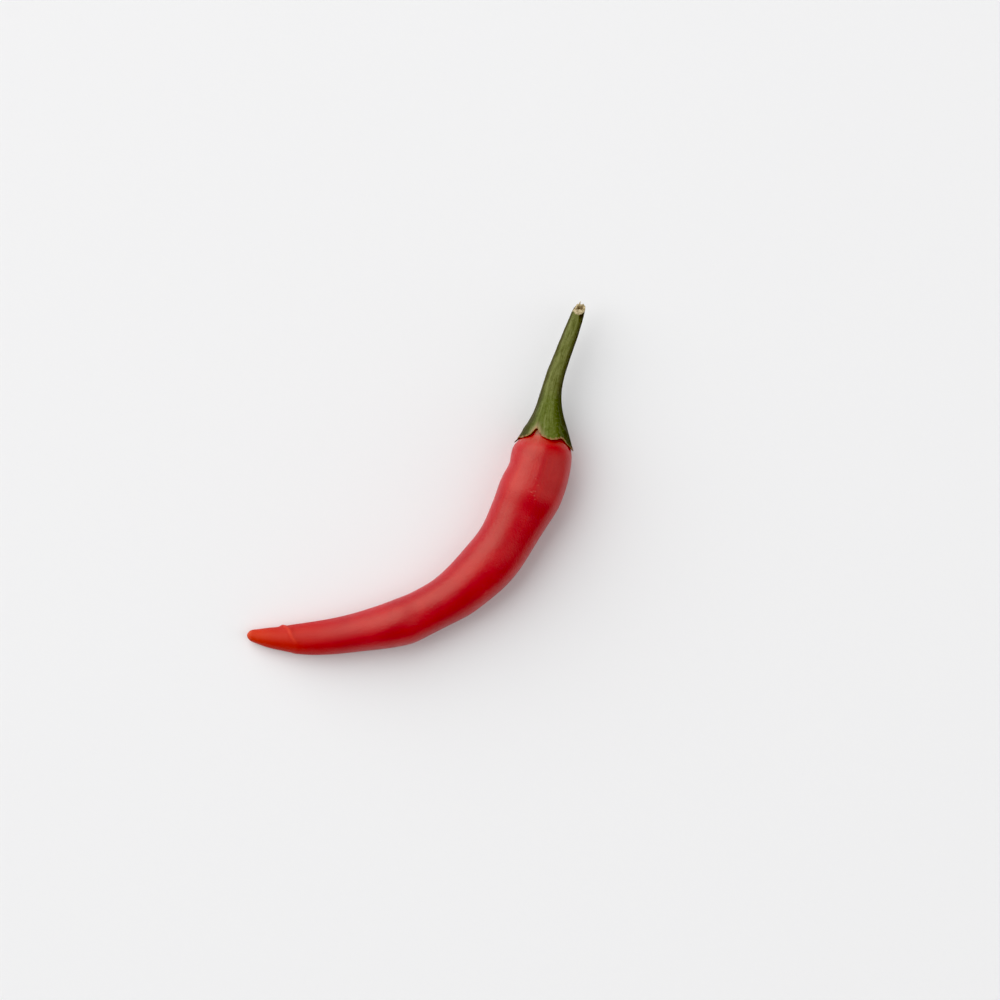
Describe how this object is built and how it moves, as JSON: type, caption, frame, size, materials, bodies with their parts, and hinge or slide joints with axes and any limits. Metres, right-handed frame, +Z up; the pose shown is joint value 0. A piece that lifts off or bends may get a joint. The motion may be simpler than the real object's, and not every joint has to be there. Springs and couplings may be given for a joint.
{
  "type": "chilli pepper",
  "caption": "Long red chilli pepper, picked with its green stalk and calyx, lying on its side and bent in an open curve to a pointed tip.",
  "frame": {"origin": "middle of the chilli's footprint, at the height of the surface that it lies on", "axes": "+X from the cut end of the stalk to the tip of the fruit, +Y to the outside of the bend, +Z up"},
  "size_m": [0.1186, 0.0376, 0.0158],
  "materials": {
    "red_skin": "smooth waxy red skin with a soft gloss, orange towards the tip",
    "green_stalk": "dull green stalk and calyx with fine lengthwise streaks, a tan corky rim and a dry cream cut end"
  },
  "bodies": {
    "root": {"fruit": "red_skin", "stalk": "green_stalk"}
  },
  "joints": []
}
